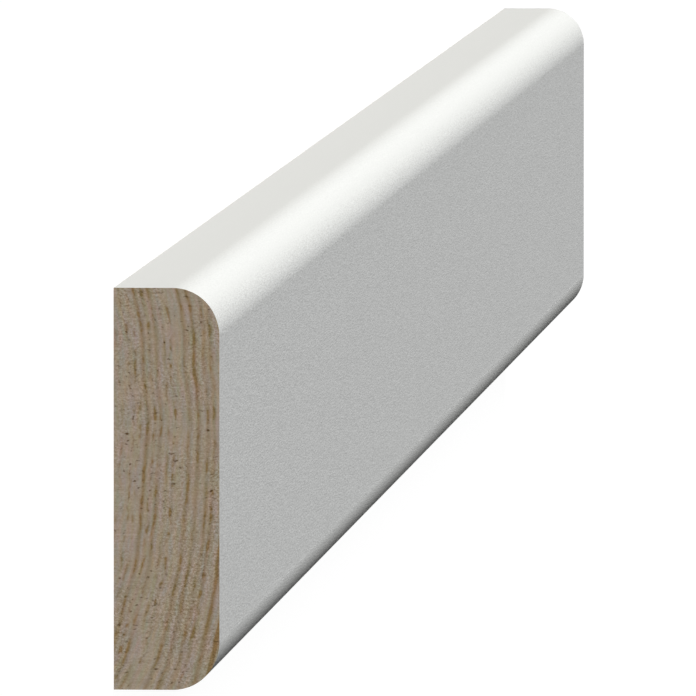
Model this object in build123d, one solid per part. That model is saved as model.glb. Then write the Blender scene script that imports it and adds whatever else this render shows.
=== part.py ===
from build123d import *
import os

# Cover strip, a solid pine moulding that hides the joint between two boards or panels.
# It lies on its flat back: X along the strip, Y across it, +Z out through the painted face.
# The origin is the centre of the back.

# Driving dimensions, millimetres
strip_length = 1000.0      # between the two sawn ends
strip_width = 57.0         # across the face
strip_thickness = 15.0     # from the back to the face
face_edge_radius = 6.6     # quarter round along both long edges of the face


def make_section():
    """Cross section in the YZ plane: square arrises at the back, both face edges rounded."""
    with BuildSketch(Plane.YZ.offset(-strip_length / 2)) as section:
        Rectangle(strip_width, strip_thickness, align=(Align.CENTER, Align.MIN))
        face_corners = section.vertices().group_by(Axis.Y)[-1]
        fillet(face_corners, radius=face_edge_radius)
    return section.sketch


def make_cover_strip():
    """The section run out along the strip and sawn square at both ends."""
    strip = extrude(make_section(), amount=strip_length)
    strip.label = "cover_strip"
    return strip


os.makedirs("parts", exist_ok=True)
export_step(make_cover_strip(), "parts/cover_strip.step")
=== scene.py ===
from math import atan2, pi, radians

import bpy
from mathutils import Matrix, Vector


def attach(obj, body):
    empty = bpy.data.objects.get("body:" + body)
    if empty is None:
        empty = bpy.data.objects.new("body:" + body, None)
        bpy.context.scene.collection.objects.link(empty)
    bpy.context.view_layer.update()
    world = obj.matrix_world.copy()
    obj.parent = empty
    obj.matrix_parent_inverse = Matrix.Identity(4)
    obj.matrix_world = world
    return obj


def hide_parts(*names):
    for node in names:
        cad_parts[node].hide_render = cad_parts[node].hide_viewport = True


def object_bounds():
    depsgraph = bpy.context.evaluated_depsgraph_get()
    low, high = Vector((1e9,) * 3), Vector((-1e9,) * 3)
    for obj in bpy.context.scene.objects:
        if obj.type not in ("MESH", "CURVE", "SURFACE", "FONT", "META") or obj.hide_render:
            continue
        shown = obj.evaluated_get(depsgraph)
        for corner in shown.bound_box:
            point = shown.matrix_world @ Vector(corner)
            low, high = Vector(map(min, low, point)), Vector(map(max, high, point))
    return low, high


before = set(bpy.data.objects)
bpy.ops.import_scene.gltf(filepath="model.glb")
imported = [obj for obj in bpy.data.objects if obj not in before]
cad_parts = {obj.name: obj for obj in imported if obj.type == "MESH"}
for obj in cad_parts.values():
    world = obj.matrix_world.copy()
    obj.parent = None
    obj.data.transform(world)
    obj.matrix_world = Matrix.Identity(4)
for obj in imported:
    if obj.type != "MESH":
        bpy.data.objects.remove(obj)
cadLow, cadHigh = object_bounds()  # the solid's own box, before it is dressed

# sizes of the strip, read from the solid, in metres
mm = 0.001
stripNode = "cover_strip"
stripSize = cadHigh - cadLow
faceLevel = cadHigh.z - 0.001 * mm
flatFace = [abs(v.co.y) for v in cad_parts[stripNode].data.vertices if v.co.z > faceLevel]
halfWidth = stripSize.y / 2
faceEdgeRadius = halfWidth - max(flatFace)
print(f"strip {stripSize.x:.3f} x {stripSize.y:.3f} x {stripSize.z:.3f} m")
print(f"face edges R {faceEdgeRadius:.4f} m")


# node helpers, shared by the shape tree and the finishes
def addNode(tree, kind, **settings):
    node = tree.nodes.new(kind)
    for name, value in settings.items():
        setattr(node, name, value)
    return node


def feed(tree, socket, value):
    if isinstance(value, bpy.types.NodeSocket):
        tree.links.new(value, socket)
    else:
        socket.default_value = value


def calc(tree, operation, *values):
    node = addNode(tree, "ShaderNodeMath", operation=operation)
    for socket, value in zip(node.inputs, values):
        feed(tree, socket, value)
    return node.outputs[0]


def ease(tree, value, low, high, fromValue=0.0, toValue=1.0):  # clamped and smooth
    node = addNode(tree, "ShaderNodeMapRange", interpolation_type="SMOOTHSTEP")
    for socket, given in zip(node.inputs, (value, low, high, fromValue, toValue)):
        feed(tree, socket, given)
    return node.outputs[0]


def split(tree, vector):
    node = addNode(tree, "ShaderNodeSeparateXYZ")
    feed(tree, node.inputs[0], vector)
    return node.outputs


def join(tree, x, y, z):
    node = addNode(tree, "ShaderNodeCombineXYZ")
    for socket, value in zip(node.inputs, (x, y, z)):
        feed(tree, socket, value)
    return node.outputs[0]


def stretch(tree, vector, factors, shift=(0.0, 0.0, 0.0)):
    node = addNode(tree, "ShaderNodeVectorMath", operation="MULTIPLY_ADD")
    for socket, value in zip(node.inputs, (vector, factors, shift)):
        feed(tree, socket, value)
    return node.outputs[0]


# noise from 0 to 1, its pitch in cycles per mm along x, y, z; output 1 is the same in colours
def cloud(tree, vector, pitch, detail=2.0, roughness=0.5, seed=0.0, output=0):
    node = addNode(tree, "ShaderNodeTexNoise")
    feed(tree, node.inputs["Vector"], stretch(tree, vector, pitch, (seed, 0.0, 0.0)))
    feed(tree, node.inputs["Scale"], 1.0)
    feed(tree, node.inputs["Detail"], detail)
    feed(tree, node.inputs["Roughness"], roughness)
    return node.outputs[output]


def waver(tree, vector, pitch, **form):  # the same, up and down from nought
    return calc(tree, "SUBTRACT", cloud(tree, vector, pitch, **form), 0.5)


def blendColours(tree, factor, first, second):
    node = addNode(tree, "ShaderNodeMix", data_type="RGBA")
    feed(tree, node.inputs[0], factor)
    feed(tree, node.inputs[6], first)
    feed(tree, node.inputs[7], second)
    return node.outputs[2]


def shaded(tree, colour, value):  # the colour made lighter or darker
    node = addNode(tree, "ShaderNodeHueSaturation")
    feed(tree, node.inputs["Value"], value)
    feed(tree, node.inputs["Color"], colour)
    return node.outputs[0]


def tone(red, green, blue):  # a colour as a picture shows it, 0 to 255, made linear
    return tuple(((c / 255 + 0.055) / 1.055) ** 2.4 for c in (red, green, blue)) + (1.0,)


# how the board was cut from the log: rings in mm from the back, on the line where they bulge most
boardGrain = {
    "apexAcross": -8.3,  # mm off the middle, where the rings come nearest to the face
    "bow": 0.0051,  # 1/mm, curve of a ring at the back
    "bowLoss": 0.00014,  # and how much flatter it is with each mm towards the face
    "drift": 0.004,  # mm of ring shift with each mm along the strip
    "stray": 1.1,  # mm, how far a ring wanders off its arc
    "strayPitch": (0.004, 0.15, 0.12),
    "straySeed": 381,
    "lateReach": (0.50, 0.62),  # mm, how far a dark line goes towards the back and towards the face
    "rings": (  # mm from the back, how dark, how much of it is a line and not a row of dashes
        (1.1, 0.28, 0.25), (2.7, 0.42, 0.10), (3.5, 0.34, 0.10), (4.6, 1.08, 0.75), (5.6, 0.66, 0.35),
        (6.5, 0.86, 0.65), (7.7, 0.27, 0.12), (8.6, 0.56, 0.12), (10.6, 0.85, 0.78), (11.9, 1.00, 0.80),
        (13.3, 0.78, 0.70), (14.2, 0.86, 0.60), (15.9, 1.38, 0.85), (17.4, 1.62, 0.95),
        (18.9, 0.90, 0.80), (20.2, 0.90, 0.70), (21.6, 0.80, 0.70),
    ),
    "lateShade": 0.59,  # how far a ring that is 1 dark goes from earlywood to latewood
    "lateMost": 0.82,  # and how far any of it goes
    "dashPitch": (0.01, 0.42, 0.7),
    "dashSeed": 143,
    "dashFade": (0.47, 0.65),  # of the noise, where a dash starts and where it is full
    "dashMean": 0.28,  # how much of the broken lines the dashes fill
    "swellPitch": (0.01, 0.085, 0.9),
    "swellSeed": 153,
    "swell": 1.8,  # how much a ring gains and loses in slow waves along its length
}


# place in mm; gives how dark the latewood is there, the place along its ring, and how near a broken ring is
def growthRings(tree, place):
    g = boardGrain
    x, y, z = split(tree, place)
    offApex = calc(tree, "SUBTRACT", y, g["apexAcross"])
    bow = calc(tree, "MULTIPLY_ADD", z, -g["bowLoss"], g["bow"])
    arc = calc(tree, "MULTIPLY", bow, calc(tree, "POWER", calc(tree, "ABSOLUTE", offApex), 2.0))
    fromEnd = calc(tree, "SUBTRACT", stripSize.x / 2 / mm, x)
    straight = calc(tree, "MULTIPLY_ADD", fromEnd, g["drift"], calc(tree, "ADD", z, arc))
    stray = waver(tree, place, g["strayPitch"], seed=g["straySeed"])
    depth = calc(tree, "MULTIPLY_ADD", stray, g["stray"], straight)
    towardsBack, towardsFace = g["lateReach"]
    steady, broken = 0.0, 0.0
    for ringDepth, ringDark, unbroken in g["rings"]:
        starts = ease(tree, depth, ringDepth - towardsBack, ringDepth)
        ends = ease(tree, depth, ringDepth, ringDepth + towardsFace, 1.0, 0.0)
        line = calc(tree, "MULTIPLY", starts, ends)
        shade = g["lateShade"] * ringDark
        steady = calc(tree, "MULTIPLY_ADD", line, shade * unbroken, steady)
        thin = calc(tree, "MULTIPLY", line, line)
        broken = calc(tree, "MULTIPLY_ADD", thin, shade * (1 - unbroken) / g["dashMean"], broken)
    inRing = join(tree, x, y, depth)
    dashes = cloud(tree, inRing, g["dashPitch"], roughness=0.6, seed=g["dashSeed"])
    dashes = ease(tree, dashes, *g["dashFade"])
    swell = waver(tree, inRing, g["swellPitch"], detail=1.0, seed=g["swellSeed"])
    swell = calc(tree, "MULTIPLY_ADD", swell, g["swell"], 1.0)
    dark = calc(tree, "MULTIPLY", calc(tree, "MULTIPLY_ADD", broken, dashes, steady), swell)
    return calc(tree, "MINIMUM", dark, g["lateMost"]), inRing, broken


def newFinish(name):
    finish = bpy.data.materials.new(name)
    finish.use_nodes = True
    tree = finish.node_tree
    where = addNode(tree, "ShaderNodeTexCoord")
    place = stretch(tree, where.outputs["Object"], (1 / mm,) * 3)  # mm
    return finish, tree, place


def setShader(tree, given, colour, height):  # what every finish sets
    shader = tree.nodes["Principled BSDF"]
    feed(tree, shader.inputs["Base Color"], colour)
    feed(tree, shader.inputs["Roughness"], given["roughness"])
    feed(tree, shader.inputs["Specular IOR Level"], given["specular"])
    bump = addNode(tree, "ShaderNodeBump")
    feed(tree, bump.inputs["Distance"], given["relief"])
    feed(tree, bump.inputs["Height"], height)
    feed(tree, shader.inputs["Normal"], bump.outputs[0])


# white paint, with painted light in its tones: the rounds are painted lighter as a painted highlight, and the
# narrow edges and the face darker as painted shade; smooth on the narrow edges, a fine grain showing through
# on the face
paintCoat = {
    # narrow edges: painted shade; rounds: painted highlight; face: painted shade
    "edgeShadedColour": tone(222, 222, 218),
    "roundHighlightColour": tone(234, 235, 232),
    "faceShadedColour": tone(224, 225, 224),
    "roundHighlightFade": (-1.12, -0.48),  # radii up from the face, where the round's painted highlight starts and is full
    "faceShadeFade": (-1.6, 4.2),  # mm out from the flat face, where the face's painted shade starts to go and is gone
    "grainPitch": (0.6, 4.5, 4.5),
    "grainTone": 0.58,
    "grainFade": (-0.4, 0.0),  # radii up from the face, where its grain starts and is full
    "roundGrain": 0.28,  # how much of the face's grain shows on the rounds
    "roundGrainFade": (-1.15, -0.95),
    "roughness": 0.6,
    "specular": 0.0,
    "relief": 5e-5,
}


def makePaint():
    p = paintCoat
    finish, tree, place = newFinish("whitePaint")
    _, y, z = split(tree, place)
    radiiUp = calc(tree, "DIVIDE", calc(tree, "SUBTRACT", z, stripSize.z / mm), faceEdgeRadius / mm)
    fromFace = calc(tree, "SUBTRACT", calc(tree, "ABSOLUTE", y), (halfWidth - faceEdgeRadius) / mm)
    # the painted highlight on the rounds and the painted shade on the face, laid over the narrow edges'
    # painted shade
    onRoundHighlight = ease(tree, radiiUp, *p["roundHighlightFade"])
    onFaceShade = ease(tree, fromFace, *p["faceShadeFade"], 1.0, 0.0)
    colour = blendColours(tree, onRoundHighlight, p["edgeShadedColour"], p["roundHighlightColour"])
    colour = blendColours(tree, onFaceShade, colour, p["faceShadedColour"])
    grain = waver(tree, place, p["grainPitch"], detail=1.0)
    faceGrain = ease(tree, radiiUp, *p["grainFade"])
    roundGrain = ease(tree, radiiUp, *p["roundGrainFade"], 0.0, p["roundGrain"])
    shown = calc(tree, "MULTIPLY", grain, calc(tree, "MAXIMUM", faceGrain, roundGrain))
    raised = calc(tree, "MULTIPLY", grain, faceGrain)
    colour = shaded(tree, colour, calc(tree, "MULTIPLY_ADD", shown, p["grainTone"], 1.0))
    setShader(tree, p, colour, raised)
    return finish


# bare sawn end: rings, fibre ends, resin canals and the marks of the saw
sawnEnd = {
    "earlywood": tone(170, 156, 138),
    "latewood": tone(134, 106, 57),
    "tintPitch": (0.05, 0.25, 1.7),
    "tintReach": (0.45, 0.0, 0.56),  # how much more or less red, green and blue
    "bandPitch": (0.01, 0.35, 1.2),  # paler and darker bands along the rings
    "bandDepth": 0.27,
    "fibrePitch": (0.05, 3.3, 2.5),
    "fibreDepth": 1.45,
    "fibreTint": (0.85, 1.0, 1.3),  # a dark fibre is warmer, a pale one cooler
    "tornPatch": (0.01, 0.07, 0.15),
    "tornSeed": 9,
    "tornFade": (0.36, 0.64),  # of the noise, where a patch is smooth and where it is torn
    "tornReach": (0.55, 1.9),  # how rough the fibres are in a smooth and in a torn patch
    "sawPitch": (0.02, 3.0, 0.12),
    "sawDepth": 0.3,
    "speck": tone(92, 70, 46),
    "speckPitch": (0.02, 2.1, 1.4),
    "speckLevel": 0.73,  # of the noise, above which a speck shows on clean wood
    "speckFade": (-0.06, 0.16),  # off that level, where a speck starts and is full
    "speckCrowding": 0.06,  # how much lower the level is in a specked patch
    "speckOnRings": 0.09,  # and on a broken ring
    "speckPatch": (0.01, 0.09, 0.3),
    "patchSeed": 234,
    "patchFade": (0.40, 0.60),  # of the noise, where a patch is clean and where it is specked
    "roughness": 0.85,
    "specular": 0.1,
    "relief": 3e-5,
}


def sawSpecks(tree, inRing, broken):  # torn fibres and resin canals, thick in some patches and on the rings
    s = sawnEnd
    patch = ease(tree, cloud(tree, inRing, s["speckPatch"], seed=s["patchSeed"]), *s["patchFade"])
    level = calc(tree, "MULTIPLY_ADD", patch, -s["speckCrowding"], s["speckLevel"])
    level = calc(tree, "MULTIPLY_ADD", broken, -s["speckOnRings"], level)
    over = calc(tree, "SUBTRACT", cloud(tree, inRing, s["speckPitch"], detail=1.0), level)
    return ease(tree, over, *s["speckFade"])


def makeSawnEnd():
    s = sawnEnd
    finish, tree, place = newFinish("sawnEndGrain")
    dark, inRing, broken = growthRings(tree, place)
    wood = blendColours(tree, dark, s["earlywood"], s["latewood"])
    tint = cloud(tree, inRing, s["tintPitch"], output=1)
    tint = stretch(tree, tint, s["tintReach"], [1 - reach / 2 for reach in s["tintReach"]])
    wood = stretch(tree, wood, tint)
    bands = waver(tree, inRing, s["bandPitch"])
    torn = ease(tree, cloud(tree, place, s["tornPatch"], seed=s["tornSeed"]), *s["tornFade"], *s["tornReach"])
    fibre = calc(tree, "MULTIPLY", waver(tree, place, s["fibrePitch"], detail=3.0, roughness=0.8), torn)
    saw = waver(tree, place, s["sawPitch"], roughness=0.6)
    level = 1.0
    for mark, depth in ((bands, s["bandDepth"]), (fibre, s["fibreDepth"]), (saw, s["sawDepth"])):
        level = calc(tree, "MULTIPLY_ADD", mark, depth, level)
    markTone = stretch(tree, level, s["fibreTint"], [1 - share for share in s["fibreTint"]])
    wood = stretch(tree, wood, markTone)
    colour = blendColours(tree, sawSpecks(tree, inRing, broken), wood, s["speck"])
    setShader(tree, s, colour, level)
    return finish


# bare planed back: the same rings cut lengthwise, with long fibres
planedBack = {
    "earlywood": tone(214, 190, 154),
    "latewood": tone(178, 134, 86),
    "fibrePitch": (0.03, 3.0, 3.0),
    "fibreDepth": 0.3,
    "roughness": 0.6,
    "specular": 0.25,
    "relief": 1.5e-5,
}


def makePlanedBack():
    b = planedBack
    finish, tree, place = newFinish("planedPineBack")
    dark = growthRings(tree, place)[0]
    wood = blendColours(tree, dark, b["earlywood"], b["latewood"])
    fibre = waver(tree, place, b["fibrePitch"], detail=3.0, roughness=0.6)
    level = calc(tree, "MULTIPLY_ADD", fibre, b["fibreDepth"], 1.0)
    setShader(tree, b, shaded(tree, wood, level), level)
    return finish


finishes = {"Paint": makePaint(), "Sawn End": makeSawnEnd(), "Planed Back": makePlanedBack()}
print("finishes:", ", ".join(m.name for m in finishes.values()))

# the strip: a block with one unit to a step, whose vertices then move to their places on the section
stripShape = {
    "Length": stripSize.x,
    "Width": stripSize.y,
    "Thickness": stripSize.z,
    "Face Edge Radius": faceEdgeRadius,
    "Face Arris": 0.030,  # slope of the round where it meets the flat face
    "Arris Closeness": 5.0,  # how near to the flat face that slope stays
    "Saw Relief": 0.03 * mm,
    "Length Steps": 16,
    "Width Steps": 285,
    "Edge Steps": 42,
    "Round Steps": 33,
}
endFrom = 0.499  # share of the length from the middle, past which a point or a face is on an end
backBelow = -0.9  # upward part of a normal, below which a face is on the back
sharpAngle = 28  # degrees between two faces, past which the edge between them shows


def makeStripTree():
    tree = bpy.data.node_groups.new("coverStripShape", "GeometryNodeTree")
    kinds = {int: "NodeSocketInt", float: "NodeSocketFloat"}
    for name, value in stripShape.items():
        tree.interface.new_socket(name=name, in_out="INPUT", socket_type=kinds[type(value)])
    for name in finishes:
        tree.interface.new_socket(name=name, in_out="INPUT", socket_type="NodeSocketMaterial")
    tree.interface.new_socket(name="Geometry", in_out="OUTPUT", socket_type="NodeSocketGeometry")
    size = addNode(tree, "NodeGroupInput").outputs

    def work(operation, *values):
        return calc(tree, operation, *values)

    # the block, where a vertex's place is its step number
    heightSteps = work("ADD", size["Edge Steps"], size["Round Steps"])
    stepCounts = (size["Length Steps"], size["Width Steps"], heightSteps)
    block = addNode(tree, "GeometryNodeMeshCube")
    feed(tree, block.inputs["Size"], join(tree, *stepCounts))
    for axis, count in zip("XYZ", stepCounts):
        feed(tree, block.inputs["Vertices " + axis], work("ADD", count, 1.0))
    x, y, z = split(tree, addNode(tree, "GeometryNodeInputPosition").outputs[0])
    along = work("DIVIDE", x, size["Length Steps"])  # -0.5 to 0.5
    across = work("DIVIDE", y, size["Width Steps"])
    up = work("MULTIPLY_ADD", heightSteps, 0.5, z)

    # up the section: the straight edge, then the quarter round
    radius = size["Face Edge Radius"]
    edge = work("MINIMUM", work("DIVIDE", up, size["Edge Steps"]), 1.0)
    turn = work("DIVIDE", work("SUBTRACT", up, size["Edge Steps"]), size["Round Steps"])
    turn = work("MULTIPLY", work("MAXIMUM", turn, 0.0), pi / 2)
    sine, cosine = work("SINE", turn), work("COSINE", turn)
    dip = work("MULTIPLY", cosine, work("POWER", sine, size["Arris Closeness"]))
    dip = work("MULTIPLY", dip, size["Face Arris"])
    bend = work("MULTIPLY", radius, work("SUBTRACT", 1.0, dip))  # the round's radius there
    rise = work("MULTIPLY", work("SUBTRACT", size["Thickness"], radius), edge)
    rise = work("MULTIPLY_ADD", bend, sine, rise)
    drawnIn = work("SUBTRACT", radius, work("MULTIPLY", bend, cosine))
    width = work("MULTIPLY_ADD", drawnIn, -2.0, size["Width"])
    side = work("MULTIPLY", across, width)
    reach = work("MULTIPLY", along, size["Length"])

    # the saw leaves both ends a little rough, inwards only
    inMm = stretch(tree, join(tree, reach, side, rise), (1 / mm,) * 3)
    rough = work("ADD", cloud(tree, inMm, sawnEnd["sawPitch"]), growthRings(tree, inMm)[0])
    bite = work("MULTIPLY", work("MULTIPLY", rough, size["Saw Relief"]), work("SIGN", reach))
    atEnd = work("GREATER_THAN", work("ABSOLUTE", along), endFrom)
    reach = work("SUBTRACT", reach, work("MULTIPLY", bite, atEnd))
    move = addNode(tree, "GeometryNodeSetPosition")
    feed(tree, move.inputs["Geometry"], block.outputs["Mesh"])
    feed(tree, move.inputs["Position"], join(tree, reach, side, rise))

    # paint all over, then the bare ends and the bare back; x is now the real place along the strip
    whole = addNode(tree, "GeometryNodeRealizeInstances")
    feed(tree, whole.inputs[0], move.outputs[0])
    normal = split(tree, addNode(tree, "GeometryNodeInputNormal").outputs[0])
    bareEnds = work("GREATER_THAN", work("ABSOLUTE", x), work("MULTIPLY", size["Length"], endFrom))
    bareBack = work("LESS_THAN", normal[2], backBelow)
    made = whole.outputs[0]
    for name, chosen in (("Paint", True), ("Sawn End", bareEnds), ("Planed Back", bareBack)):
        coat = addNode(tree, "GeometryNodeSetMaterial")
        feed(tree, coat.inputs["Geometry"], made)
        feed(tree, coat.inputs["Selection"], chosen)
        feed(tree, coat.inputs["Material"], size[name])
        made = coat.outputs[0]
    feed(tree, addNode(tree, "NodeGroupOutput").inputs["Geometry"], made)
    return tree


def makeStrip():
    tree = makeStripTree()
    strip = bpy.data.objects.new("coverStrip", bpy.data.meshes.new("coverStrip"))
    bpy.context.scene.collection.objects.link(strip)
    shape = strip.modifiers.new("shape", "NODES")
    shape.node_group = tree
    given = {**stripShape, **finishes}
    for socket in tree.interface.items_tree:
        if socket.in_out == "INPUT":
            shape[socket.identifier] = given[socket.name]
    seen = bpy.context.evaluated_depsgraph_get()
    mesh = bpy.data.meshes.new_from_object(strip.evaluated_get(seen), depsgraph=seen)
    strip.modifiers.remove(shape)
    strip.data = mesh
    if mesh.materials[0] is None:  # the block starts with an empty slot
        mesh.materials.pop(index=0)
    mesh.shade_smooth()
    mesh.set_sharp_from_angle(angle=radians(sharpAngle))
    return strip


strip = makeStrip()
print("strip mesh:", len(strip.data.polygons), "faces in", [m.name for m in strip.data.materials])

# a map for baking the finishes through: the skin unrolled above, the two ends below it
bakeMap = {
    "margin": 0.01,
    "endHeight": 0.17,
    "skinLow": 0.39,
}
edgeHeight = stripSize.z - faceEdgeRadius
flatHalf = halfWidth - faceEdgeRadius
quarterRound = faceEdgeRadius * pi / 2
paintedGirth = 2 * (edgeHeight + quarterRound + flatHalf)


def skinGirth(place, face):  # how far round the section a point of the skin lies, from one back corner
    if face.normal.z < backBelow:
        return halfWidth - place.y  # the back comes first
    side = 1 if face.center.y > 0 else -1
    out = side * place.y - flatHalf
    up = place.z - edgeHeight
    if up <= 0:
        along = place.z
    elif out <= 0:
        along = edgeHeight + quarterRound - out
    else:
        along = edgeHeight + quarterRound - faceEdgeRadius * atan2(out, up)
    return stripSize.y + (along if side < 0 else paintedGirth - along)


def unrollStrip(mesh):
    b = bakeMap
    layer = mesh.uv_layers.new(name="OFBake")
    low, high = b["margin"], 1 - b["margin"]
    skinScale = (high - b["skinLow"]) / (stripSize.y + paintedGirth)
    for face in mesh.polygons:
        isEnd = abs(face.center.x) > endFrom * stripSize.x
        endLow = low if face.center.x > 0 else 2 * low + b["endHeight"]
        for corner in face.loop_indices:
            place = mesh.vertices[mesh.loops[corner].vertex_index].co
            if isEnd:
                u = 0.5 + place.y / stripSize.y
                v = endLow + place.z / stripSize.z * b["endHeight"]
            else:
                u = 0.5 + place.x / stripSize.x
                v = b["skinLow"] + skinGirth(place, face) * skinScale
            layer.uv[corner].vector = (low + u * (high - low), v)


unrollStrip(strip.data)
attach(strip, "root")
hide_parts(stripNode)
print("strip is dressed and unrolled")

# floor, lamps and backdrop
studio = {
    "floorSize": 60.0,
    "floorGap": 0.2 * mm,  # how far the floor lies below the back
    "floorColour": tone(100, 100, 100),
    "floorGlow": 0.95,  # what the eye sees of the floor besides the light that falls on it
    "floorBounce": 0.02,  # soft light that the pale floor gives back to the strip
    "fill": 0.01,
    "fillColour": (0.97, 1.0, 1.03, 1.0),
    "roomColour": (1.0, 1.0, 1.0, 1.0),
    "lamps": (  # name, level, direction of the light's source, spread in degrees
        ("keySun", 1.23, (0.40, -0.777, 0.487), 40),
        # the others come up through the floor
        ("endSun", 0.18, (0.998, 0.0, -0.06), 6),
        ("farEndSun", 0.50, (-0.998, 0.0, -0.06), 6),
        ("tableSun", 0.50, (-0.15, 0.855, -0.50), 10),
        ("farEdgeSun", 0.70, (-0.10, 0.57, -0.815), 10),
    ),
}


def seenDirectly(tree):  # 1 for what the camera sees, also in gloss or through glass
    path = addNode(tree, "ShaderNodeLightPath").outputs
    seen = calc(tree, "MAXIMUM", path["Is Camera Ray"], path["Is Glossy Ray"])
    return calc(tree, "MAXIMUM", seen, path["Is Transmission Ray"])


def makeFloor():
    s = studio
    mesh = bpy.data.meshes.new("floor")
    far = s["floorSize"] / 2
    corners = [(x * far, y * far, -s["floorGap"]) for x, y in ((-1, -1), (1, -1), (1, 1), (-1, 1))]
    mesh.from_pydata(corners, [], [(0, 1, 2, 3)])
    floor = bpy.data.objects.new("floor", mesh)
    floor.visible_shadow = False  # lets the lamps below it through, and still takes the strip's shadow
    bpy.context.scene.collection.objects.link(floor)
    finish = bpy.data.materials.new("paleFloor")
    finish.use_nodes = True
    tree = finish.node_tree
    tree.nodes.clear()
    matt = addNode(tree, "ShaderNodeBsdfDiffuse")
    feed(tree, matt.inputs["Color"], s["floorColour"])
    glow = addNode(tree, "ShaderNodeEmission")
    glowGain = s["floorGlow"] - s["floorBounce"]
    level = calc(tree, "MULTIPLY_ADD", seenDirectly(tree), glowGain, s["floorBounce"])
    feed(tree, glow.inputs["Strength"], level)
    both = addNode(tree, "ShaderNodeAddShader")
    feed(tree, both.inputs[0], matt.outputs[0])
    feed(tree, both.inputs[1], glow.outputs[0])
    feed(tree, addNode(tree, "ShaderNodeOutputMaterial").inputs["Surface"], both.outputs[0])
    mesh.materials.append(finish)


def makeLight():
    s = studio
    scene = bpy.context.scene
    for name, level, towards, spread in s["lamps"]:
        lamp = bpy.data.lights.new(name, "SUN")
        lamp.energy = level * pi  # at level 1 a white card facing the lamp renders white
        lamp.angle = radians(spread)
        holder = bpy.data.objects.new(name, lamp)
        holder.rotation_euler = Vector(towards).to_track_quat("Z", "Y").to_euler()
        scene.collection.objects.link(holder)
    world = bpy.data.worlds.new("whiteRoom")
    scene.world = world
    world.use_nodes = True
    tree = world.node_tree
    room = tree.nodes["Background"]
    seen = seenDirectly(tree)
    feed(tree, room.inputs["Color"], blendColours(tree, seen, s["fillColour"], s["roomColour"]))
    feed(tree, room.inputs["Strength"], calc(tree, "MULTIPLY_ADD", seen, 1.0 - s["fill"], s["fill"]))


makeFloor()
makeLight()
print("floor, lamps and white room are set")

# the camera stands off the near end and looks down the strip, turned so that the face is on the right
viewpoint = {
    "eye": (3.4717, -0.18618, 0.21995),
    "aim": (0.0, 0.00787, 0.00182),
    "pictureUp": (0.0, -1.0, 0.0),
    "lens": 1090.8,  # mm
    "sensor": 36.0,  # mm
    "sightEnd": 200.0,  # m
}


def makeCamera():
    v = viewpoint
    eye = Vector(v["eye"])
    back = (eye - Vector(v["aim"])).normalized()
    right = Vector(v["pictureUp"]).cross(back).normalized()
    up = back.cross(right)
    lens = bpy.data.cameras.new("stripCamera")
    lens.sensor_width = v["sensor"]
    lens.lens = v["lens"]
    lens.clip_end = v["sightEnd"]
    camera = bpy.data.objects.new("stripCamera", lens)
    camera.matrix_world = Matrix.Translation(eye) @ Matrix((right, up, back)).transposed().to_4x4()
    bpy.context.scene.collection.objects.link(camera)
    bpy.context.scene.camera = camera


makeCamera()
bpy.context.scene.view_settings.view_transform = "Standard"
print("camera is set")
